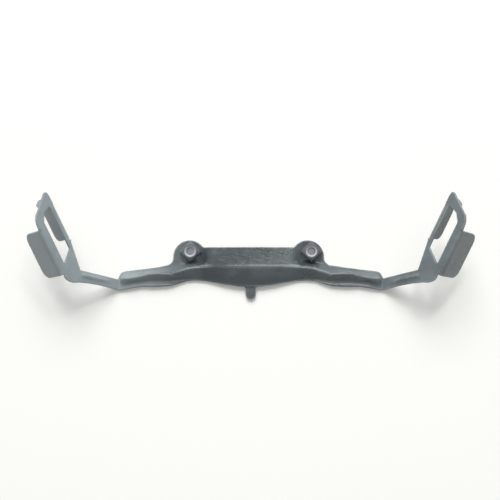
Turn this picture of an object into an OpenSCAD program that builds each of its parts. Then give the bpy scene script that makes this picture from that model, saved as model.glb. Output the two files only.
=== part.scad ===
// Front indicator bracket of a motorcycle: one pressed steel sheet with two weld nuts.
// It lies on its back. X runs from lamp to lamp, Z points away from the machine's frame.
// The origin is midway between the two bolt holes, on the rear face of the ears.

/* [Sheet] */
// Thickness of the steel sheet
sheet_t = 2; // [1.6:0.1:2.6]
// Inner radius of the folded flanges
fold_r = 0.9; // [0.7:0.1:1.4]
// Length over which a drawn bend is rounded, to each side of its corner
bend_reach = 1.6; // [1:0.1:2.2]

/* [Bolt ears] */
// Distance between the two bolt holes
bolt_pitch = 80; // [76:1:90]
// Radius of the round ears
ear_r = 10.9; // [9.5:0.1:12]
// Distance of the ears' centres below the bolt holes
ear_drop = 2.9; // [1:0.1:4]
// Distance of the left ear's centre from its bolt hole, away from the middle
left_ear_outset = 0.6; // [0:0.1:1]
// Distance of the right ear's centre from its bolt hole, towards the middle
right_ear_inset = 2.3; // [0:0.1:2.5]
// Diameter of the clearance hole through the sheet
bolt_hole_d = 6.6; // [5.5:0.1:7.5]

/* [Weld nuts] */
// Width of the square nut across its flats
nut_w = 10; // [9:0.5:12]
// Height of the nut
nut_h = 5; // [4:0.5:6]
// Bore of the nut at the thread's crest
nut_bore_d = 5.2; // [4.2:0.1:5.6]
// Diameter of the countersink at the nut's top
nut_sink_d = 7.6; // [6.2:0.1:8]
// Diameter of the flat ring left by the chamfer on the nut's corners
nut_face_d = 9.2; // [8.6:0.1:10]
// Fall of the corner chamfer, in degrees
nut_chamfer_deg = 42; // [15:1:50]

/* [Drawn centre] */
// Height of the ridge's front face above the rear plane
ridge_h = 7.5; // [6:0.1:9]
// Distance of the straight ridge below the line of the bolts
ridge_drop = 10.6; // [9.5:0.1:11.5]
// Distance of the straight upper edge above the line of the bolts
top_edge = 3.1; // [1:0.1:5]
// Height of the front face at the upper edge, midway between the ears
top_edge_h = 4; // [2.8:0.1:5]
// Distance of the lower edge below the line of the bolts, at the middle
belly_drop = 23.1; // [22:0.1:25]
// Distance of the lower edge below the line of the bolts, at its waist under the ears
waist_drop = 18.8; // [17.5:0.1:19.5]
// Width of the lip under the middle
lip_w_mid = 1.2; // [0.8:0.1:2]
// Width of the turned-up lip under the channels
lip_w_side = 2.8; // [2:0.1:3.2]
// Rise of the turned-up lip under the channels, in degrees
lip_rise_deg = 24; // [5:1:35]

/* [Tongue] */
// Width of the tongue
tongue_w = 6.7; // [5:0.1:9]
// Distance of the tongue's end below the line of the bolts
tongue_drop = 31.4; // [28:0.1:36]
// Fall of the tongue from its root, in degrees
tongue_fall_deg = 7; // [3:1:10]
// Radius of the fillets at the tongue's root
tongue_fillet_r = 1.6; // [1:0.1:2.4]

/* [Arms] */
// Distance of the bend of each arm from the middle
kink_x = 87.7; // [85:0.1:95]
// Rise of the arms and the lamp plates from the rear plane, in degrees
arm_deg = 39; // [30:1:45]
// Inner radius of the bend at the arm's root
kink_r = 4; // [3:0.5:6]
// Length of the arm from its bend to the lamp plate
arm_l = 30; // [28:0.1:34]
// Width of the arm at its root
arm_w_root = 7.4; // [6:0.1:9]
// Width of the arm at the lamp plate
arm_w_end = 8.1; // [7:0.1:10]
// Extra width of the right arm
right_arm_extra = 0.7; // [0:0.1:1]
// Height of the stiffening bead on the arm
bead_h = 1.3; // [0.6:0.1:1.8]

/* [Lamp plates] */
// Lean of the lamp plate's long edges, in degrees
lean_deg = 30.5; // [26:0.5:34]
// Width of the left lamp plate over its two flanges
left_plate_w = 18.1; // [17:0.1:20]
// Width of the right lamp plate over its two flanges
right_plate_w = 20.3; // [19:0.1:21]
// Length of the left lamp plate from its lower outer corner to its tip
plate_l = 52.5; // [51:0.1:55]
// Width of the outer strip between the window and the outer flange's face
strip_w = 6.1; // [5.4:0.1:7]
// Width of the neck between the window and the inner flange's fold
neck_w = 1; // [0.6:0.1:1.5]
// Distance of the window's lower corner from the plate's lower corner
window_from = 6.4; // [5.5:0.1:8]
// Distance of the window's upper corner from the plate's lower corner
window_to = 43.4; // [42.5:0.1:44.5]

/* [Lamp plates' flanges] */
// Distance of the outer flange's end from the plate's lower corner
flap_l = 32.4; // [28:0.1:34]
// Distance of the outer flange's start from the plate's lower corner
flap_from = 0.8; // [0.2:0.1:2]
// Depth of the outer flange behind the plate's front face
flap_depth = 21.6; // [16:0.1:23]
// Radius of the outer flange's free corners
flap_corner_r = 6; // [3:0.1:7]
// Length of the inner flange along its fold
tab_l = 24; // [20:0.1:25]
// Distance of the inner flange's start from the plate's lower corner
tab_from = 19; // [18:0.1:20]
// Depth of the left inner flange behind the plate's front face
left_tab_depth = 16; // [12:0.1:17]
// Depth of the right inner flange behind the plate's front face
right_tab_depth = 12.8; // [11:0.1:17]
// Radius of the inner flange's free corners
tab_corner_r = 4.5; // [2:0.1:5]
// Radius of the small lug behind the plate's tip
lug_r = 2.6; // [2:0.1:3.2]
// Depth of the small lug behind the plate's front face
lug_depth = 5; // [4.6:0.1:7]

/* [Hidden] */
$fn = 64;

// Steps of the rounding at each bend and of the rounded bend at the arm's root
bend_steps = 2;
kink_steps = 4;
// Share of a short face that the rounding at its corner may take
corner_share = 0.45;
// Step between a faceted arc of the sheet and the exact arc that goes on from it
weld_step = 0.06;
// Overlap of the flat pieces of the sheet, where they run into each other
lap = 0.6;
// Clearance between a nut's sides and its seat
seat_gap = 0.1;
paint = "#3d4447";

bolt_x = bolt_pitch / 2;

// Ends of the stretches that make up one half, measured along the sheet from the middle
slope_end = bolt_x - ear_r - 3.4;
ear_start = bolt_x - ear_r + 4.6;
ear_y = -ear_drop;
ridge_end = bolt_x - 3.5;
left_ear_end = bolt_x + ear_r + left_ear_outset;
right_ear_end = bolt_x + ear_r - right_ear_inset;
ear_fillet_r = 5;
// Where the lines of the channel leave the ear, inside its edge
ear_end = left_ear_end - 1.2;
channel_start = left_ear_end + ear_fillet_r - 1.7;
channel_mid = channel_start + 12;
channel_end = kink_x - 5.2;
wall_end = kink_x + 0.3;
kink_outer_r = kink_r + sheet_t;
kink_tangent = kink_outer_r * tan(arm_deg / 2);
kink_arc = kink_outer_r * arm_deg * PI / 180;
kink_start = kink_x - kink_tangent;
arm_start = kink_start + kink_arc;
arm_end = arm_start + arm_l - kink_tangent;
bead_from = arm_start + 3;
bead_full = bead_from + 9;
bead_end = arm_end - lap;

// Height of the rear face under the middle, and what the bends under the channels need below them
belly_h = 1.4;
foot_lift = 0.15;

// Lines along the sheet: distance from the middle, then distance from the bolts' line
channel_edge_y = -8.9;
arm_low_y = -25.6;
arm_tip_low_y = -22.1;
upper_line = [
    [channel_start, channel_edge_y], [channel_mid, channel_edge_y - 1.9], [channel_end, -12.6],
    [kink_x - 2.4, -13.4], [kink_x - 0.7, -15.1], [kink_x + 0.6, arm_low_y + arm_w_root],
    [arm_end, arm_tip_low_y + arm_w_end]
];
flank_line = [
    [0, -5], [slope_end, -5], [ear_start, -6.6], [bolt_x + 2, -7.2], [ear_end, -8.3],
    [channel_start - 2, -9.8], [channel_start, -10.5], [channel_mid, -11.9], [channel_end, -13.9],
    [kink_x - 2.4, -14.9], [kink_x - 0.7, -16.6], [kink_x + 0.6, -19.4], [arm_end, -15.2]
];
ridge_line = [
    [0, -ridge_drop], [ridge_end, -ridge_drop], [bolt_x + 2, -ridge_drop - 1], [ear_end + 2, -15.2],
    [channel_mid - 6, -14.7], [channel_mid, -14.9], [channel_end - 7, -17.6], [channel_end - 2, -18.2],
    [kink_x - 2.4, -18.2], [kink_x + 0.6, -20.9], [arm_end, -17]
];
foot_line = [
    [0, -belly_drop + lip_w_mid], [8, -belly_drop + lip_w_mid], [30, -waist_drop - 0.6 + lip_w_mid],
    [bolt_x, -waist_drop + lip_w_mid], [ear_end + 3, -22.2 + lip_w_side],
    [channel_mid, -22.6 + lip_w_side], [channel_end - 4, -23.4 + lip_w_side], [kink_x - 3.2, -22.4],
    [kink_x, -23], [arm_end, -18.9]
];
lower_line = [
    [0, -belly_drop], [6, -belly_drop], [12, -belly_drop + 0.5], [20, -21.1], [30, -waist_drop - 0.5],
    [bolt_x - 3, -waist_drop], [bolt_x + 2, -waist_drop - 0.2], [bolt_x + 7, -20.3],
    [ear_end + 3, -22], [ear_end + 12, -22.6], [channel_mid + 5, -22.4], [kink_x - 9, -23.5],
    [kink_x - 1, arm_low_y], [arm_start + 16, arm_tip_low_y - 0.3], [arm_end, arm_tip_low_y]
];

function mix(a, b, share) = a + (b - a) * share;
function ease(share) = let (s = min(1, max(0, share))) s * s * (3 - 2 * s);
function past(from, to, at) = ease((at - from) / (to - from));

// Upper edge: straight between the ears, up their inner arcs, below their middle lines, round the
// fillet, then the channel
function ear_top(at, side) = ear_y
    + sqrt(max(0, pow(ear_r - weld_step, 2) - pow(at - ear_x(side), 2)));
function arm_extra(side) = side > 0 ? right_arm_extra : 0;
function ear_x(side) = side > 0 ? bolt_x - right_ear_inset : bolt_x + left_ear_outset;
function fillet_y(from_root) = channel_edge_y + ear_fillet_r
    - sqrt(pow(ear_fillet_r, 2) - pow(max(0, ear_fillet_r - from_root), 2));
function upper_edge(at, side) = let (edge = ear_x(side) + ear_r)
    at < bolt_x ? mix(max(top_edge, ear_top(at, side)), ear_y, past(ear_start, bolt_x, at))
    : at < edge ? ear_y
    : at < edge + ear_fillet_r ? min(fillet_y(at - edge), ear_y)
    : lookup(at, upper_line) + arm_extra(side) * past(kink_x, arm_start, at);

// Front face heights at the ridge and at its two feet
function ridge_height(at) = at < arm_start
    ? mix(ridge_h, sheet_t, past(channel_end, wall_end, at))
    : sheet_t + bead_h * past(bead_from, bead_full, at) * (1 - past(bead_end - 2.5, bead_end, at));
function slope_height(y) = mix(top_edge_h, ridge_h, (top_edge - y) / (top_edge + ridge_drop));
function slope_share(at) = past(slope_end, ear_start, at);
function flank_height(at) = mix(slope_height(lookup(at, flank_line)), sheet_t, slope_share(at));
function edge_height(at, y) = mix(slope_height(y), sheet_t, slope_share(at));
function foot_height(at) = mix(sheet_t + belly_h, sheet_t, past(10, ear_start, at))
    + foot_lift * past(ear_start, channel_start, at) * (1 - past(channel_end, wall_end, at));
function lip_slope(at) =
    tan(lip_rise_deg) * past(bolt_x - 6, ear_end + 4, at) * (1 - past(channel_end - 4, wall_end, at));

function corners(at, side) = let (
    top = upper_edge(at, side),
    foot = lookup(at, foot_line),
    low = lookup(at, lower_line),
    foot_h = foot_height(at)
) [
    [top, edge_height(at, top)],
    [lookup(at, flank_line), flank_height(at)],
    [lookup(at, ridge_line), ridge_height(at)],
    [foot, foot_h],
    [low, foot_h + (foot - low) * lip_slope(at)]
];

function unit(v) = v / norm(v);
function across(v) = let (u = unit(v)) [-u[1], u[0]];
// Corner of the rear face that lies one sheet behind corner i of the front face
function behind(p, i) = let (
    last = len(p) - 1,
    n1 = across(i == 0 ? p[1] - p[0] : p[i] - p[i - 1]),
    n2 = across(i == last ? p[last] - p[last - 1] : p[i + 1] - p[i])
) p[i] + sheet_t * (n1 + n2) / (1 + n1 * n2);
function reach(a, b) = min(bend_reach, corner_share * norm(b - a));
function rounded(p, i) = let (
    start = p[i] + reach(p[i], p[i - 1]) * unit(p[i - 1] - p[i]),
    stop = p[i] + reach(p[i], p[i + 1]) * unit(p[i + 1] - p[i])
) [for (k = [0:bend_steps]) let (q = k / bend_steps)
    (1 - q) * (1 - q) * start + 2 * q * (1 - q) * p[i] + q * q * stop];
function face_line(p) = concat([p[0]], [for (i = [1:len(p) - 2]) each rounded(p, i)], [p[len(p) - 1]]);
function reversed(list) = [for (i = [len(list) - 1:-1:0]) list[i]];
function section(at, side) = let (
    front = corners(at, side),
    rear = [for (i = [0:len(front) - 1]) behind(front, i)]
) concat(face_line(front), reversed(face_line(rear)));

// Place of a section point: flat in the middle, round the bend, then up the arm's slope
function turned(at) = min(arm_deg, max(0, (at - kink_start) / kink_outer_r * 180 / PI));
function place(at, side, p) = let (
    a = turned(at),
    run = max(0, at - arm_start),
    x = min(at, kink_start) + kink_outer_r * sin(a) + run * cos(a),
    z = kink_outer_r * (1 - cos(a)) + run * sin(a)
) [side * (x - p[1] * sin(a)), p[0], z + p[1] * cos(a)];

stations = concat(
    [0, 8, 16, slope_end, for (k = [1:5]) mix(slope_end + 1.6, ear_start, (k - 1) / 5)],
    [ear_start, ridge_end],
    [bolt_x + 2, bolt_x + 5, right_ear_end - 0.05, right_ear_end + 0.05, right_ear_end + 0.6],
    [left_ear_end - 0.05, left_ear_end + 0.05, left_ear_end + 0.6, left_ear_end + 1.5],
    [channel_start, channel_mid - 6, channel_mid, channel_mid + 5, channel_end - 4, channel_end],
    [for (k = [1:2]) mix(channel_end, kink_start, k / 3)],
    [for (k = [0:kink_steps]) kink_start + kink_arc * k / kink_steps],
    [for (k = [0:3]) mix(bead_from, bead_full, k / 3)],
    [mix(bead_full, bead_end, 0.5), bead_end - 2.5, bead_end - 1.2, bead_end, arm_end]
);

module drawn_sheet() {
    count = len(stations);
    rings = concat(
        [for (i = [count - 1:-1:1]) [for (p = section(stations[i], -1)) place(stations[i], -1, p)]],
        [for (i = [0:count - 1]) [for (p = section(stations[i], 1)) place(stations[i], 1, p)]]
    );
    ring = len(rings[0]);
    last = (len(rings) - 1) * ring;
    half = ring / 2;
    polyhedron(
        points = [for (r = rings) each r],
        faces = concat(
            [for (i = [0:len(rings) - 2], j = [0:ring - 1], k = [0, 1]) let (
                a = i * ring + j,
                b = i * ring + (j + 1) % ring
            ) k == 0 ? [a, a + ring, b + ring] : [a, b + ring, b]],
            [for (j = [0:half - 2]) let (c = ring - 1 - j) each [[j, j + 1, c - 1], [j, c - 1, c]]],
            [for (j = [0:half - 2]) let (a = last + j, c = last + ring - 1 - j)
                each [[a + 1, a, c], [a + 1, c, c - 1]]]
        )
    );
}

module both_sides() {
    children();
    mirror([1, 0, 0]) children();
}

// Area between a fillet of the given radius and the lines x = 0 and y = 0
module fillet_corner(r) {
    difference() {
        square(r);
        translate([r, r]) circle(r);
    }
}

// The flat upper part of an ear: the rest belongs to the drawn sheet
module ear(side) {
    flat_from = ear_start - lap - ear_x(side);
    on_side(side) translate([ear_x(side), ear_y, 0]) linear_extrude(sheet_t) intersection() {
        circle(ear_r);
        translate([flat_from, -lap]) square([ear_r - flat_from, ear_r + 2 * lap]);
    }
}

// Moves its children into the plane of an arm: X up the slope, Z out of the front face
module arm_plane() {
    translate([kink_x, 0, 0]) rotate([0, -arm_deg, 0]) children();
}

module on_side(side) {
    if (side < 0) mirror([1, 0, 0]) children();
    if (side > 0) children();
}

// Lines across the lamp plate where its flanges begin to bend
fold_reach = fold_r + sheet_t;
fold_out = -fold_reach;
function plate_w(side) = side > 0 ? right_plate_w : left_plate_w;
function fold_in(side) = -plate_w(side) + fold_reach;

// Moves its children to the lower outer corner of the lamp plate, with Y along its long edges
plate_corner = [arm_l + 12.7, arm_tip_low_y + 2.4];
function in_plate_frame(p) = let (d = p - plate_corner)
    [d[0] * cos(lean_deg) - d[1] * sin(lean_deg), d[0] * sin(lean_deg) + d[1] * cos(lean_deg)];
module plate_frame() {
    translate([plate_corner[0], plate_corner[1], 0]) rotate([0, 0, -lean_deg]) children();
}

// Root of the gusset on the arm's upper edge: a wider plate starts further in
function gusset_root(side) = in_plate_frame([
    arm_l - lap - (plate_w(side) - left_plate_w), arm_tip_low_y + arm_w_end + arm_extra(side)
]);
// A wider plate has a lower tip
function tip_y(side) = plate_l - 0.3 * (plate_w(side) - left_plate_w);
tip_fall = [3.4, -0.3];
function tip_end(side) = [tip_fall[0] - plate_w(side), tip_y(side) + tip_fall[1]];
shoulder = [-3.2, flap_l + 9.4];
shoulder_line = [shoulder, [-1.6, flap_l + 6.8], [-0.9, flap_l + 4.2], [-0.6, flap_l + 0.4]];
heel_line = [[-2.4, -1], [-2.9, -3.4], [-4.4, -5.4], [-6.4, -7.1]];

module lamp_plate_outline(side) {
    w = plate_w(side);
    difference() {
        polygon(concat(
            [[1 - w, tab_from - 2], [-w, tab_from - 0.8], [fold_in(side), tab_from]],
            [[fold_in(side), tab_from + tab_l], [0.8 - w, tab_from + tab_l], [0.8 - w, tip_y(side) - 3.3]],
            [[1.3 - w, tip_y(side) - 0.9], [2.2 - w, tip_y(side)], tip_end(side)],
            shoulder_line, [[fold_out, flap_l + 0.4], [fold_out, 0]], heel_line,
            [in_plate_frame([arm_l - lap, arm_tip_low_y]), gusset_root(side)]
        ));
        window_outline(side);
    }
}

module window_outline(side) {
    inner = fold_in(side) + neck_w;
    corner_r = 0.8;
    offset(corner_r) offset(-corner_r) polygon([
        [inner, window_from + 7.2], [-strip_w, window_from], [-strip_w, flap_l + 3.5],
        [mix(inner, -strip_w, 0.65), window_to - 2.7], [inner, window_to]
    ]);
}

module lamp_plate(side) {
    linear_extrude(sheet_t) plate_frame() lamp_plate_outline(side);
}

// Flange folded back along the Y axis: its outer face is the plane X = 0
module folded_flange(length, depth, corner_r) {
    intersection() {
        rotate([90, 0, 180]) mirror([1, 0, 0]) linear_extrude(length) flange_section(depth);
        rotate([0, -90, 0]) linear_extrude(4 * fold_reach, center = true)
            flange_outline(length, depth, corner_r);
    }
}

module flange_section(depth) {
    difference() {
        translate([-fold_reach, -fold_r]) intersection() {
            circle(fold_reach);
            square(fold_reach);
        }
        translate([-fold_reach, -fold_r]) circle(fold_r);
    }
    translate([-sheet_t, sheet_t - depth]) square([sheet_t, depth - sheet_t - fold_r]);
    translate([-fold_reach - lap, 0]) square([lap, sheet_t]);
}

module flange_outline(length, depth, corner_r) {
    hull() {
        square([sheet_t, length]);
        translate([sheet_t - depth + corner_r, corner_r]) circle(corner_r);
        translate([sheet_t - depth + corner_r, length - corner_r]) circle(corner_r);
    }
}

// Small lug folded back behind the edge that falls from the tip
function lug_share(side) = side > 0 ? 0.45 : 0.38;
module tip_lug(side) {
    fall = shoulder - tip_end(side);
    out = side > 0 ? -0.1 : 0.6;
    translate([shoulder[0], shoulder[1], 0]) rotate([0, 0, atan2(fall[1], fall[0]) + 90])
        translate([out, norm(fall) * lug_share(side), 0]) folded_flange(2 * lug_r, lug_depth, lug_r - 0.1);
}

module lamp_plate_flanges(side) {
    tab_depth = side > 0 ? right_tab_depth : left_tab_depth;
    translate([0, flap_from, 0]) folded_flange(flap_l - flap_from, flap_depth, flap_corner_r);
    translate([-plate_w(side), tab_from, 0]) mirror([1, 0, 0]) folded_flange(tab_l, tab_depth, tab_corner_r);
    tip_lug(side);
}

module tongue() {
    reach = tongue_drop - belly_drop;
    root = 2;
    fall = foot_height(0) - sheet_t;
    translate([0, -belly_drop + root, fall]) rotate([tongue_fall_deg, 0, 0]) linear_extrude(sheet_t) {
        translate([-tongue_w / 2, -reach - root + tongue_w / 2]) square([tongue_w, reach + root - tongue_w / 2]);
        translate([0, -reach - root + tongue_w / 2]) circle(tongue_w / 2);
        both_sides() translate([tongue_w / 2, lap / 2 - root]) mirror([0, 1])
            fillet_corner(tongue_fillet_r + lap / 2);
    }
}

module bolt_holes() {
    both_sides() translate([bolt_x, 0, -1]) cylinder(h = sheet_t + 2, d = bolt_hole_d);
}

// Flat seats cut for the nuts where the sheet starts to rise
module nut_seats() {
    seat_w = nut_w + 2 * seat_gap;
    both_sides() translate([bolt_x, 0, sheet_t]) rotate([0, 0, 45])
        translate([-seat_w / 2, -seat_w / 2, 0]) cube([seat_w, seat_w, nut_h]);
}

module bracket() {
    color(paint) difference() {
        union() {
            drawn_sheet();
            ear(1);
            ear(-1);
            for (side = [-1, 1]) on_side(side) arm_plane() {
                lamp_plate(side);
                plate_frame() lamp_plate_flanges(side);
            }
            tongue();
        }
        bolt_holes();
        nut_seats();
    }
}

module weld_nut() {
    corner = nut_w * sqrt(2) / 2;
    chamfer = (corner - nut_face_d / 2) * tan(nut_chamfer_deg);
    difference() {
        intersection() {
            rotate([0, 0, 45]) translate([-nut_w / 2, -nut_w / 2, 0]) cube([nut_w, nut_w, nut_h]);
            rotate_extrude() polygon([
                [0, 0], [corner, 0], [corner, nut_h - chamfer], [nut_face_d / 2, nut_h], [0, nut_h]
            ]);
        }
        translate([0, 0, -1]) cylinder(h = nut_h + 2, d = nut_bore_d);
        translate([0, 0, nut_h - (nut_sink_d - nut_bore_d) / 2])
            cylinder(h = (nut_sink_d - nut_bore_d) / 2, d1 = nut_bore_d, d2 = nut_sink_d);
    }
}

module weld_nuts() {
    color(paint) both_sides() translate([bolt_x, 0, sheet_t]) weld_nut();
}

bracket();
weld_nuts();
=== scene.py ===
"""Looks of a motorcycle's front indicator bracket: one pressed, painted sheet with two weld nuts."""
from __future__ import annotations

import logging
import math
from dataclasses import dataclass
from enum import Enum

import bmesh
import bpy
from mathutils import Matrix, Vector


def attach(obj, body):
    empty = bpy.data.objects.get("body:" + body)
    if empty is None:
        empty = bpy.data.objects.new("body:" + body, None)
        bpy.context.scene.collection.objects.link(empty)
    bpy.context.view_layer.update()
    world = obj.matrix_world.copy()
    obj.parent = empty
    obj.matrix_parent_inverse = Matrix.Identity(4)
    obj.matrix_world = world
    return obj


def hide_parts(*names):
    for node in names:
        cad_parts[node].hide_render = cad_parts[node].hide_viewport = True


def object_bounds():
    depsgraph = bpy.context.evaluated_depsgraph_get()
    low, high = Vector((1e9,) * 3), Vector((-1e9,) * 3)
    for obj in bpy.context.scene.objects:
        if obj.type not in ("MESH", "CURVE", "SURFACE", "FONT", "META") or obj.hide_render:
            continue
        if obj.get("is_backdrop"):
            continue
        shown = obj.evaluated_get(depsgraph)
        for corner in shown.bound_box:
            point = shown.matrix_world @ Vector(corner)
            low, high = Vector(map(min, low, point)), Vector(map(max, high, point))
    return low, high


LOG = logging.getLogger("bracket_looks")
MM = 0.001
NOISE_MEAN = 0.5
Point = tuple[float, float, float]
Colour = tuple[float, float, float, float]
WHITE: Colour = (1.0, 1.0, 1.0, 1.0)


class Sum(Enum):
    """Sums that masks are made of, by the names of the Math node."""

    ADD = "ADD"
    SUBTRACT = "SUBTRACT"
    MULTIPLY = "MULTIPLY"
    POWER = "POWER"
    LARGER = "MAXIMUM"
    SIZE = "ABSOLUTE"
    ROOT = "SQRT"


@dataclass(frozen=True)
class Ramp:
    """A smooth way from the first result, at low, to the last one, at high. It stays level beyond both."""

    low: float
    high: float
    first: float = 0.0
    last: float = 1.0


@dataclass(frozen=True)
class Grain:
    """Noise: waves per metre, octaves, weight of the finer octaves, and a factor on each coordinate.

    A smaller factor draws the noise out along that coordinate.
    """

    scale: float
    detail: float
    rough: float = 0.5
    stretch: Point = (1.0, 1.0, 1.0)


class NodeBoard:
    """The node tree of a material or a world, with short calls for the nodes that they share."""

    def __init__(self, owner: bpy.types.Material | bpy.types.World, output: str = "ShaderNodeOutputMaterial",
                 place: str = "Object") -> None:
        """Starts an empty tree with its output.

        Args:
            owner: The material or world whose nodes are built.
            output: Blender's identifier of the output node.
            place: Name of the coordinates that textures and masks use.
        """
        owner.use_nodes = True
        self.tree = owner.node_tree
        self.tree.nodes.clear()
        self.output = self.tree.nodes.new(output)
        self.place = self.tree.nodes.new("ShaderNodeTexCoord").outputs[place]

    def add(self, kind: str, **settings: object) -> bpy.types.Node:
        """Adds a node.

        Args:
            kind: Blender's identifier of the node type.
            settings: Properties set on the node.

        Returns:
            The new node.
        """
        node = self.tree.nodes.new(kind)
        for name, value in settings.items():
            setattr(node, name, value)
        return node

    def feed(self, socket: bpy.types.NodeSocket, value: object) -> None:
        """Links a socket, or sets its constant.

        Args:
            socket: Input that is fed.
            value: Output socket, number or vector.
        """
        if isinstance(value, bpy.types.NodeSocket):
            self.tree.links.new(value, socket)
        else:
            socket.default_value = value

    def noise(self, grain: Grain) -> bpy.types.NodeSocket:
        """Adds noise on the board's coordinates.

        Args:
            grain: Size and shape of the noise.

        Returns:
            The noise's factor.
        """
        squeeze = self.add("ShaderNodeVectorMath", operation="MULTIPLY")
        self.feed(squeeze.inputs[0], self.place)
        self.feed(squeeze.inputs[1], grain.stretch)
        node = self.add("ShaderNodeTexNoise")
        self.feed(node.inputs["Vector"], squeeze.outputs[0])
        self.feed(node.inputs["Scale"], grain.scale)
        self.feed(node.inputs["Detail"], grain.detail)
        self.feed(node.inputs["Roughness"], grain.rough)
        return node.outputs["Fac"]

    def span(self, value: object, ramp: Ramp) -> bpy.types.NodeSocket:
        """Maps a value by a ramp.

        Args:
            value: Output socket that is mapped.
            ramp: The two ends of the range and their results.

        Returns:
            The mapped value.
        """
        node = self.add("ShaderNodeMapRange", interpolation_type="SMOOTHSTEP", clamp=True)
        self.feed(node.inputs["Value"], value)
        self.feed(node.inputs["From Min"], ramp.low)
        self.feed(node.inputs["From Max"], ramp.high)
        self.feed(node.inputs["To Min"], ramp.first)
        self.feed(node.inputs["To Max"], ramp.last)
        return node.outputs["Result"]

    def sum_up(self, kind: Sum, a: object, b: object = 0.0) -> bpy.types.NodeSocket:
        """Joins two numbers, or changes the first one alone where the sum takes only one.

        Args:
            kind: The sum.
            a: First number or socket.
            b: Second number or socket.

        Returns:
            The result.
        """
        node = self.add("ShaderNodeMath", operation=kind.value)
        self.feed(node.inputs[0], a)
        self.feed(node.inputs[1], b)
        return node.outputs[0]

    def between(self, share: object, a: object, b: object) -> bpy.types.NodeSocket:
        """Goes from one number to another.

        Args:
            share: How far it goes.
            a: Number or socket at a share of 0.
            b: Number or socket at a share of 1.

        Returns:
            The number between them.
        """
        step = self.sum_up(Sum.MULTIPLY, self.sum_up(Sum.SUBTRACT, b, a), share)
        return self.sum_up(Sum.ADD, a, step)

    def blend(self, share: object, a: object, b: object) -> bpy.types.NodeSocket:
        """Mixes two colours.

        Args:
            share: Weight of the second colour.
            a: First colour or socket.
            b: Second colour or socket.

        Returns:
            The mixed colour.
        """
        node = self.add("ShaderNodeMix", data_type="RGBA")
        self.feed(node.inputs["Factor"], share)
        self.feed(node.inputs["A"], a)
        self.feed(node.inputs["B"], b)
        return node.outputs["Result"]

    def pick(self, share: object, a: object, b: object) -> bpy.types.NodeSocket:
        """Mixes two surfaces.

        Args:
            share: Weight of the second surface.
            a: First surface.
            b: Second surface.

        Returns:
            The mixed surface.
        """
        node = self.add("ShaderNodeMixShader")
        for socket, value in zip(node.inputs, (share, a, b)):
            self.feed(socket, value)
        return node.outputs[0]

    def matt(self, colour: Colour) -> bpy.types.NodeSocket:
        """Adds a matt surface.

        Args:
            colour: Colour of the surface.

        Returns:
            The surface.
        """
        node = self.add("ShaderNodeBsdfDiffuse")
        self.feed(node.inputs["Color"], colour)
        return node.outputs[0]

    def glow(self, strength: float) -> bpy.types.NodeSocket:
        """Adds a white surface that shines by itself.

        Args:
            strength: How bright it is, where 1 is white.

        Returns:
            The surface.
        """
        node = self.add("ShaderNodeEmission")
        self.feed(node.inputs["Strength"], strength)
        return node.outputs[0]

    def axis(self, letter: str) -> bpy.types.NodeSocket:
        """One of the board's coordinates, in metres: letter is X, Y or Z."""
        node = self.add("ShaderNodeSeparateXYZ")
        self.feed(node.inputs[0], self.place)
        return node.outputs[letter]

    def background_rays(self) -> bpy.types.NodeSocket:
        """One for the rays that show the background: the camera's, mirrored ones and those through glass."""
        rays = self.add("ShaderNodeLightPath").outputs
        seen = self.sum_up(Sum.LARGER, rays["Is Camera Ray"], rays["Is Glossy Ray"])
        return self.sum_up(Sum.LARGER, seen, rays["Is Transmission Ray"])

    def bump(self, height: object, distance: float, strength: float,
             under: object = None) -> bpy.types.NodeSocket:
        """Adds a relief to the shading.

        Args:
            height: Socket that gives the relief.
            distance: Depth of the relief, in metres.
            strength: Share of the relief that is used.
            under: Normal that the relief is laid on.

        Returns:
            The bumped normal.
        """
        node = self.add("ShaderNodeBump")
        self.feed(node.inputs["Height"], height)
        self.feed(node.inputs["Distance"], distance)
        self.feed(node.inputs["Strength"], strength)
        if under is not None:
            self.feed(node.inputs["Normal"], under)
        return node.outputs["Normal"]


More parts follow.
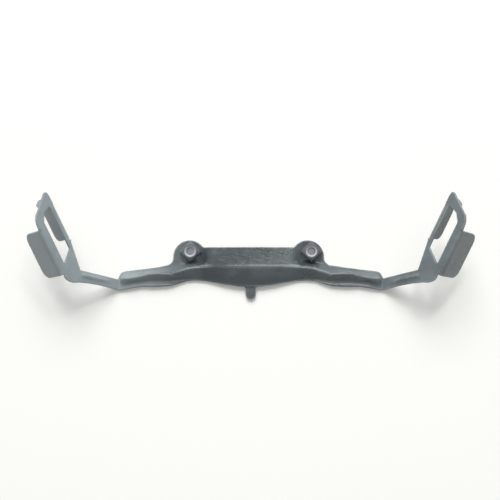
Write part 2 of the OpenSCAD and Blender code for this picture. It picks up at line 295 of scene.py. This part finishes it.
@dataclass(frozen=True)
class CoatFinish:
    """Satin electrocoat over steel: dust and painted glare towards the ends, painted shade low on the middle,
    wrinkled on the drawn middle, worn on edges with a painted highlight along the ridge's crest, and on the
    nuts painted light in the bores.

    The ramps named after patches read one large noise. The others read a coordinate, or how pointed the
    surface is, where 0.5 is flat: wear starts at edge_from, and sharper corners than edge_to stay painted.
    """

    name: str
    film: Colour = (0.044, 0.056, 0.062, 1.0)
    cloud: Colour = (0.110, 0.130, 0.136, 1.0)
    # Pale slate grey of dust and painted glare, mixed in towards the ends.
    dust_and_glare: Colour = (0.330, 0.388, 0.404, 1.0)
    # Light grey of edge wear, and of the painted highlight along the ridge's crest.
    worn_and_highlight: Colour = (0.300, 0.330, 0.335, 1.0)
    # Pale grey in the nuts' bores: painted light of lit bore walls, not bare metal.
    bore_light: Colour = (0.46, 0.50, 0.55, 1.0)
    specular: float = 0.5
    patches: Grain = Grain(55.0, 4.0, 0.6)
    rough_patches: Ramp = Ramp(0.30, 0.70, 0.22, 0.32)
    cloud_patches: Ramp = Ramp(0.40, 0.68, 0.0, 0.6)
    # Painted shade: no clouds low on the middle's wall and on the tongue.
    painted_shade_low: Ramp = Ramp(-14 * MM, -20 * MM)
    dust_and_glare_patches: Ramp = Ramp(0.25, 0.60, 0.78, 1.0)
    # Stronger on the left: painted glare of the brighter light there, on top of the dust.
    dust_and_glare_left: Ramp = Ramp(-30 * MM, -96 * MM, 0.0, 0.72)
    dust_and_glare_right: Ramp = Ramp(30 * MM, 96 * MM, 0.0, 0.32)
    dust_rough: float = 0.15
    wear_and_highlight_patches: Ramp = Ramp(0.30, 0.62)
    wear_and_highlight_share: float = 0.7
    edge_from: Ramp = Ramp(0.503, 0.512)
    edge_to: Ramp = Ramp(0.62, 0.57)
    # Painted highlight along the ridge's crest, in place of its shine.
    crest_highlight_gain: float = 0.010
    crest_highlight_half: float = 1.2 * MM
    bore_light_r: float = 0.0
    bore_light_x: float = 40 * MM
    bore_light_rim: float = 0.2 * MM
    drawn: Ramp = Ramp(36 * MM, 30 * MM)
    crest_y: float = -9.5 * MM
    crest_half: float = 1 * MM
    wrinkle: Grain = Grain(340.0, 4.0, 0.6, (0.45, 1.0, 1.0))
    wrinkle_depth: float = 0.90 * MM
    wrinkle_share: float = 0.7
    peel: Grain = Grain(700.0, 2.0)
    peel_depth: float = 0.05 * MM
    peel_share: float = 0.5

    def material(self) -> bpy.types.Material:
        """Builds the paint.

        Returns:
            The finished material.
        """
        paint = bpy.data.materials.new(self.name)
        board = NodeBoard(paint)
        patches = board.noise(self.patches)
        # Clouds, left out where shade is painted low on the middle.
        cloudy = board.sum_up(Sum.MULTIPLY, board.span(patches, self.cloud_patches), self.cloud_outside_painted_shade(board))
        # Dust and painted glare towards the ends.
        dust_and_glare_share = self.dust_and_glare_mask(board, patches)
        colour = board.blend(cloudy, self.film, self.cloud)
        colour = board.blend(dust_and_glare_share, colour, self.dust_and_glare)
        # Edge wear, and a painted highlight along the ridge's crest.
        colour = board.blend(self.wear_and_highlight_mask(board, patches), colour, self.worn_and_highlight)
        # Painted light in the nuts' bores.
        if self.bore_light_r > 0:
            colour = board.blend(self.bore_light_mask(board), colour, self.bore_light)
        dull = board.sum_up(Sum.MULTIPLY, dust_and_glare_share, self.dust_rough)
        shader = board.add("ShaderNodeBsdfPrincipled")
        board.feed(shader.inputs["Base Color"], colour)
        board.feed(shader.inputs["Roughness"],
                   board.sum_up(Sum.ADD, board.span(patches, self.rough_patches), dull))
        board.feed(shader.inputs["Specular IOR Level"], self.specular)
        board.feed(shader.inputs["Normal"], self.relief(board))
        board.feed(board.output.inputs["Surface"], shader.outputs["BSDF"])
        return paint

    def drawn_mask(self, board: NodeBoard) -> bpy.types.NodeSocket:
        """Share of the drawn middle, between the two ears."""
        return board.span(board.sum_up(Sum.SIZE, board.axis("X")), self.drawn)

    def cloud_outside_painted_shade(self, board: NodeBoard) -> bpy.types.NodeSocket:
        """Pale clouds everywhere but low on the middle's wall and on the tongue, where leaving them out
        paints shade: the film stays darker there.

        Args:
            board: Nodes of the paint.

        Returns:
            The share of the clouds.
        """
        low = board.span(board.axis("Y"), self.painted_shade_low)
        return board.sum_up(Sum.SUBTRACT, 1.0, board.sum_up(Sum.MULTIPLY, low, self.drawn_mask(board)))

    def dust_and_glare_mask(self, board: NodeBoard, patches: bpy.types.NodeSocket) -> bpy.types.NodeSocket:
        """Dust and painted glare that grow towards both ends, more on the left, with a little cloudiness: the
        glare stands in for the stronger light on the left.

        Args:
            board: Nodes of the paint.
            patches: Noise that the paint shares.

        Returns:
            The share of the dust and the painted glare.
        """
        along = board.axis("X")
        ends = board.sum_up(Sum.ADD, board.span(along, self.dust_and_glare_left), board.span(along, self.dust_and_glare_right))
        return board.sum_up(Sum.MULTIPLY, ends, board.span(patches, self.dust_and_glare_patches))

    def crest_highlight(self, board: NodeBoard) -> bpy.types.NodeSocket:
        """A painted highlight along the ridge's crest, as an addition to how pointed the surface is.

        Args:
            board: Nodes of the paint.

        Returns:
            The addition.
        """
        off = board.sum_up(Sum.SIZE, board.sum_up(Sum.SUBTRACT, board.axis("Y"), self.crest_y))
        line = board.span(off, Ramp(self.crest_highlight_half, 0.0, 0.0, self.crest_highlight_gain))
        return board.sum_up(Sum.MULTIPLY, line, self.drawn_mask(board))

    def wear_and_highlight_mask(self, board: NodeBoard, patches: bpy.types.NodeSocket) -> bpy.types.NodeSocket:
        """Wear in patches on outer edges, and a painted highlight along the ridge's crest.

        Args:
            board: Nodes of the paint.
            patches: Noise that the paint shares.

        Returns:
            The share of the worn paint and the painted highlight.
        """
        edge = board.add("ShaderNodeNewGeometry").outputs["Pointiness"]
        edge = board.sum_up(Sum.ADD, edge, self.crest_highlight(board))
        wear_and_glint = board.sum_up(Sum.MULTIPLY, board.span(edge, self.edge_from), board.span(edge, self.edge_to))
        wear_and_glint = board.sum_up(Sum.MULTIPLY, wear_and_glint, board.span(patches, self.wear_and_highlight_patches))
        return board.sum_up(Sum.MULTIPLY, wear_and_glint, self.wear_and_highlight_share)

    def bore_light_mask(self, board: NodeBoard) -> bpy.types.NodeSocket:
        """Painted light around both bolts, in the nuts' bores: walls that look lit and bright from the white
        ground.

        Args:
            board: Nodes of the paint.

        Returns:
            The share of the painted light.
        """
        across = board.sum_up(Sum.SUBTRACT, board.sum_up(Sum.SIZE, board.axis("X")), self.bore_light_x)
        square = board.sum_up(Sum.ADD, board.sum_up(Sum.POWER, across, 2.0),
                              board.sum_up(Sum.POWER, board.axis("Y"), 2.0))
        return board.span(board.sum_up(Sum.ROOT, square), Ramp(self.bore_light_r, self.bore_light_r - self.bore_light_rim))

    def relief(self, board: NodeBoard) -> bpy.types.NodeSocket:
        """Orange peel everywhere, and wrinkles on the drawn middle above the crest.

        Args:
            board: Nodes of the paint.

        Returns:
            The bumped normal.
        """
        crest = Ramp(self.crest_y - self.crest_half, self.crest_y + self.crest_half)
        middle = board.sum_up(Sum.MULTIPLY, self.drawn_mask(board), board.span(board.axis("Y"), crest))
        wrinkle = board.sum_up(Sum.SUBTRACT, board.noise(self.wrinkle), NOISE_MEAN)
        wrinkle = board.sum_up(Sum.MULTIPLY, wrinkle, middle)
        peel = board.bump(board.noise(self.peel), self.peel_depth, self.peel_share)
        return board.bump(wrinkle, self.wrinkle_depth, self.wrinkle_share, peel)


@dataclass(frozen=True)
class GroundFinish:
    """White paper under the bracket: it keeps the shadow near it, and is seen to fade to white far out."""

    name: str = "white_ground"
    paper: Colour = (0.87, 0.87, 0.835, 1.0)
    lit: Colour = (0.82, 0.84, 0.86, 1.0)
    lift: float = 0.10
    backdrop: float = 1.0
    fade: Ramp = Ramp(0.25, 0.90)

    def material(self) -> bpy.types.Material:
        """Builds the paper: one colour lights the bracket, and the others are what is seen.

        Returns:
            The finished material.
        """
        ground = bpy.data.materials.new(self.name)
        board = NodeBoard(ground)
        near = board.add("ShaderNodeAddShader")
        board.feed(near.inputs[0], board.matt(self.paper))
        board.feed(near.inputs[1], board.glow(self.lift))
        away = board.add("ShaderNodeVectorMath", operation="LENGTH")
        board.feed(away.inputs[0], board.place)
        far = board.span(away.outputs["Value"], self.fade)
        seen = board.pick(far, near.outputs[0], board.glow(self.backdrop))
        surface = board.pick(board.background_rays(), board.matt(self.lit), seen)
        board.feed(board.output.inputs["Surface"], surface)
        return ground


def merged_copy(node: str, name: str, gap: float = 0.002 * MM) -> bpy.types.Object:
    """Copies a CAD node's mesh and closes it.

    Args:
        node: Name of the CAD node.
        name: Name of the new piece.
        gap: Distance within which corners are one.

    Returns:
        The new object, at the origin.
    """
    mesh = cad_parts[node].data.copy()
    mesh.materials.clear()
    piece = bpy.data.objects.new(name, mesh)
    bpy.context.scene.collection.objects.link(piece)
    shape = bmesh.new()
    shape.from_mesh(mesh)
    bmesh.ops.remove_doubles(shape, verts=shape.verts, dist=gap)
    bmesh.ops.recalc_face_normals(shape, faces=shape.faces)
    shape.to_mesh(mesh)
    shape.free()
    return piece


def settle(piece: bpy.types.Object) -> None:
    """Applies the piece's modifiers to its mesh.

    Args:
        piece: Object whose modifiers are applied and removed.
    """
    graph = bpy.context.evaluated_depsgraph_get()
    graph.update()
    mesh = bpy.data.meshes.new_from_object(piece.evaluated_get(graph))
    piece.modifiers.clear()
    piece.data = mesh


@dataclass
class PressedSheet:
    """The bracket itself: a pressed sheet with soft painted edges."""

    node: str = "bracket"
    grain: float = 0.3 * MM
    smooth_rounds: int = 9
    smooth_share: float = 0.5
    kept_share: float = 0.34
    finish: CoatFinish = CoatFinish("sheet_coat")

    def build(self) -> bpy.types.Object:
        """Makes the sheet with rounded edges from its CAD solid.

        Returns:
            The piece.
        """
        piece = merged_copy(self.node, "pressed_sheet")
        remesh = piece.modifiers.new("skin", "REMESH")
        remesh.mode = "VOXEL"
        remesh.voxel_size = self.grain
        remesh.use_smooth_shade = True
        soften = piece.modifiers.new("soften", "SMOOTH")
        soften.factor = self.smooth_share
        soften.iterations = self.smooth_rounds
        thin = piece.modifiers.new("thin_out", "DECIMATE")
        thin.ratio = self.kept_share
        settle(piece)
        piece.data.shade_smooth()
        return piece

    def dress(self, piece: bpy.types.Object) -> None:
        """Paints the sheet and ties it to the frame.

        Args:
            piece: The sheet.
        """
        piece.data.materials.append(self.finish.material())
        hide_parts(self.node)
        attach(piece, "root")


@dataclass
class WeldNuts:
    """Two square weld nuts with softened edges and a thread each. Angles are in degrees."""

    node: str = "weld_nuts"
    number: int = 2
    bolt_x: float = 40 * MM
    seat_z: float = 2 * MM
    height: float = 5 * MM
    sink: float = 1.2 * MM
    flat_angle: float = 1.0
    bevel: float = 0.3 * MM
    bevel_steps: int = 3
    bevel_angle: float = 24.0
    bore_r: float = 2.6 * MM
    pitch: float = 1.0 * MM
    crest: float = 0.34 * MM
    crest_inset: float = 0.6
    turn_steps: int = 40
    crest_sides: int = 3
    # The nuts' coat paints light into their bores.
    finish: CoatFinish = CoatFinish("nut_coat", wear_and_highlight_share=0.15, bore_light_r=3.85 * MM)

    def build(self) -> bpy.types.Object:
        """Makes both nuts from their CAD solids.

        Returns:
            The piece that holds both nuts.
        """
        piece = merged_copy(self.node, "square_nuts")
        shape = bmesh.new()
        shape.from_mesh(piece.data)
        bmesh.ops.dissolve_limit(shape, angle_limit=math.radians(self.flat_angle), verts=shape.verts,
                                 edges=shape.edges)
        shape.to_mesh(piece.data)
        shape.free()
        soften = piece.modifiers.new("soft_edges", "BEVEL")
        soften.width = self.bevel
        soften.segments = self.bevel_steps
        soften.limit_method = "ANGLE"
        soften.angle_limit = math.radians(self.bevel_angle)
        soften.harden_normals = True
        settle(piece)
        piece.data.shade_smooth()
        return piece

    def thread_sizes(self) -> dict[str, float]:
        """Sizes of the thread, by the names of the tree's inputs.

        Returns:
            The sizes, in metres but for the number of turns.
        """
        length = self.height - self.sink - 2 * self.crest
        return {
            "Bore radius": self.bore_r + self.crest_inset * self.crest,
            "Turns": length / self.pitch,
            "Thread length": length,
            "Thread start": self.seat_z + self.crest,
            "Crest": self.crest,
            "First bolt": -self.bolt_x,
            "Bolt spacing": 2 * self.bolt_x / (self.number - 1),
        }

    def thread_tree(self, paint: bpy.types.Material) -> bpy.types.GeometryNodeTree:
        """Builds the nodes that wind a thread in each nut: a spiral with ribs, put on a row of points.

        Args:
            paint: Material of the thread.

        Returns:
            The node tree.
        """
        tree = bpy.data.node_groups.new("nut_threads", "GeometryNodeTree")
        for name, number in self.thread_sizes().items():
            socket = tree.interface.new_socket(name, in_out="INPUT", socket_type="NodeSocketFloat")
            socket.default_value = number
        tree.interface.new_socket("Geometry", in_out="OUTPUT", socket_type="NodeSocketGeometry")
        given = tree.nodes.new("NodeGroupInput").outputs
        wind = tree.nodes.new("GeometryNodeCurveSpiral")
        wind.inputs["Resolution"].default_value = self.turn_steps
        rib = tree.nodes.new("GeometryNodeCurvePrimitiveCircle")
        rib.inputs["Resolution"].default_value = self.crest_sides
        sweep = tree.nodes.new("GeometryNodeCurveToMesh")
        sweep.inputs["Fill Caps"].default_value = True
        first = tree.nodes.new("ShaderNodeCombineXYZ")
        step = tree.nodes.new("ShaderNodeCombineXYZ")
        row = tree.nodes.new("GeometryNodeMeshLine")
        row.inputs["Count"].default_value = self.number
        put = tree.nodes.new("GeometryNodeInstanceOnPoints")
        real = tree.nodes.new("GeometryNodeRealizeInstances")
        coat = tree.nodes.new("GeometryNodeSetMaterial")
        coat.inputs["Material"].default_value = paint
        out = tree.nodes.new("NodeGroupOutput")
        for source, target in (
                (given["Turns"], wind.inputs["Rotations"]),
                (given["Bore radius"], wind.inputs["Start Radius"]),
                (given["Bore radius"], wind.inputs["End Radius"]),
                (given["Thread length"], wind.inputs["Height"]),
                (given["Crest"], rib.inputs["Radius"]),
                (wind.outputs["Curve"], sweep.inputs["Curve"]),
                (rib.outputs["Curve"], sweep.inputs["Profile Curve"]),
                (given["First bolt"], first.inputs["X"]),
                (given["Thread start"], first.inputs["Z"]),
                (given["Bolt spacing"], step.inputs["X"]),
                (first.outputs[0], row.inputs["Start Location"]),
                (step.outputs[0], row.inputs["Offset"]),
                (row.outputs["Mesh"], put.inputs["Points"]),
                (sweep.outputs["Mesh"], put.inputs["Instance"]),
                (put.outputs["Instances"], real.inputs["Geometry"]),
                (real.outputs["Geometry"], coat.inputs["Geometry"]),
                (coat.outputs["Geometry"], out.inputs["Geometry"])):
            tree.links.new(source, target)
        return tree

    def thread(self, paint: bpy.types.Material) -> bpy.types.Object:
        """Winds the threads.

        Args:
            paint: Material of the thread.

        Returns:
            The piece that holds both threads.
        """
        piece = bpy.data.objects.new("nut_threads", bpy.data.meshes.new("nut_threads"))
        bpy.context.scene.collection.objects.link(piece)
        winder = piece.modifiers.new("threads", "NODES")
        winder.node_group = self.thread_tree(paint)
        for item in winder.node_group.interface.items_tree:
            if item.in_out == "INPUT":
                winder[item.identifier] = self.thread_sizes()[item.name]
        settle(piece)
        return piece

    def dress(self, piece: bpy.types.Object) -> list[bpy.types.Object]:
        """Paints the nuts, winds their threads and ties both to the frame.

        Args:
            piece: The nuts.

        Returns:
            The nuts and their threads.
        """
        paint = self.finish.material()
        piece.data.materials.append(paint)
        threads = self.thread(paint)
        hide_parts(self.node)
        for each in (piece, threads):
            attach(each, "root")
        return [piece, threads]


@dataclass(frozen=True)
class Lamp:
    """A square soft lamp that faces the bracket: place and width in metres, power in watts.

    Satin paint shows the reflection of a mirrored lamp only.
    """

    name: str
    place: Point
    width: float
    watts: float
    mirrored: bool = True

    def hang(self) -> None:
        """Hangs the lamp."""
        lamp = bpy.data.lights.new(self.name, "AREA")
        lamp.shape = "SQUARE"
        lamp.size = self.width
        lamp.energy = self.watts
        holder = bpy.data.objects.new(self.name, lamp)
        holder.location = self.place
        holder.rotation_euler = (-Vector(self.place)).to_track_quat("-Z", "Y").to_euler()
        holder.visible_glossy = self.mirrored
        bpy.context.scene.collection.objects.link(holder)


@dataclass
class Studio:
    """White paper, a world that is bright at the horizon and dim overhead, and soft lamps.

    The ramps read the direction that light comes from, as a vector of length 1.
    """

    ground_half: float = 2.5
    backdrop: float = 1.0
    zenith: float = 0.36
    overhead: Ramp = Ramp(0.55, 0.97)
    near_far: Ramp = Ramp(-0.75, 0.75, 0.20, 0.60)
    left_right: Ramp = Ramp(-0.8, 0.8, 0.85, 1.15)
    finish: GroundFinish = GroundFinish()
    lamps: tuple[Lamp, ...] = (
        Lamp("window_behind", (-0.30, 3.30, 2.80), 2.60, 172.0, mirrored=False),
        Lamp("ceiling_lamp", (-0.04, -0.06, 0.90), 0.10, 0.5),
        Lamp("lamp_behind", (0.22, 0.72, 0.80), 0.10, 1.2),
    )

    def lay_ground(self, height: float) -> None:
        """Lays the paper under the bracket.

        Args:
            height: Height of the bracket's lowest point, in metres.
        """
        half = self.ground_half
        mesh = bpy.data.meshes.new("ground")
        corners = [(-half, -half, height), (half, -half, height), (half, half, height), (-half, half, height)]
        mesh.from_pydata(corners, [], [(0, 1, 2, 3)])
        ground = bpy.data.objects.new("ground", mesh)
        bpy.context.scene.collection.objects.link(ground)
        mesh.materials.append(self.finish.material())
        ground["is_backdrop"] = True

    def lift_sky(self) -> None:
        """Lights the world: dim near the viewer, bright behind and to the right, dimmer overhead.

        The rays that show the background see it plain white.
        """
        world = bpy.data.worlds.new("room")
        bpy.context.scene.world = world
        board = NodeBoard(world, "ShaderNodeOutputWorld", "Generated")
        sides = board.sum_up(Sum.MULTIPLY, board.span(board.axis("Y"), self.near_far),
                             board.span(board.axis("X"), self.left_right))
        light = board.between(board.span(board.axis("Z"), self.overhead), sides, self.zenith)
        sky = board.add("ShaderNodeBackground")
        board.feed(sky.inputs["Color"], WHITE)
        board.feed(sky.inputs["Strength"], board.between(board.background_rays(), light, self.backdrop))
        board.feed(board.output.inputs["Surface"], sky.outputs[0])

    def build(self, floor: float) -> None:
        """Sets up ground, world and lamps.

        Args:
            floor: Height of the bracket's lowest point, in metres.
        """
        self.lay_ground(floor)
        self.lift_sky()
        for lamp in self.lamps:
            lamp.hang()
        bpy.context.scene.view_settings.view_transform = "Standard"


@dataclass
class PhotoCamera:
    """The photograph's camera, almost straight above the bracket. Lens and sensor are in millimetres."""

    target: Point = (-0.00053, 0.00168, 0.0)
    distance: float = 0.6
    elevation: float = 82.0
    lens: float = 64.8
    sensor: float = 36.0
    near_clip: float = 0.01

    def build(self) -> None:
        """Places the camera and makes it the scene's."""
        lens = bpy.data.cameras.new("photo_camera")
        lens.lens = self.lens
        lens.sensor_width = self.sensor
        lens.clip_start = self.near_clip
        camera = bpy.data.objects.new("photo_camera", lens)
        rise = math.radians(self.elevation)
        look = Vector((0.0, math.cos(rise), -math.sin(rise)))
        camera.location = Vector(self.target) - look * self.distance
        camera.rotation_euler = look.to_track_quat("-Z", "Y").to_euler()
        bpy.context.scene.collection.objects.link(camera)
        bpy.context.scene.camera = camera


def as_numbers(corners: tuple) -> list[list[float]]:
    """Turns a box's two corners into plain lists."""
    return [[float(value) for value in corner] for corner in corners]


def report(piece: bpy.types.Object) -> None:
    """Logs a piece's name and number of faces."""
    LOG.info("%s: %d faces", piece.name, len(piece.data.polygons))


def main() -> None:
    """Builds the camera, the pieces and the studio in order."""
    cad_box = as_numbers(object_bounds())
    PhotoCamera().build()
    sheet = PressedSheet()
    skin = sheet.build()
    sheet.dress(skin)
    report(skin)
    nuts = WeldNuts()
    for piece in nuts.dress(nuts.build()):
        report(piece)
    Studio().build(cad_box[0][2])


logging.basicConfig(level=logging.INFO, format="%(name)s %(message)s")
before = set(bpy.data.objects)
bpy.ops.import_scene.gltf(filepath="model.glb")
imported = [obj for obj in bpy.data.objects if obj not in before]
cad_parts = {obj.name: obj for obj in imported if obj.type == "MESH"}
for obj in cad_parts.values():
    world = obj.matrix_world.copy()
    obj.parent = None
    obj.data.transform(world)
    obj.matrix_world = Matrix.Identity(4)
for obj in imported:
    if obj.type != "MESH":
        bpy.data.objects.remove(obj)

if __name__ == "__main__":
    main()
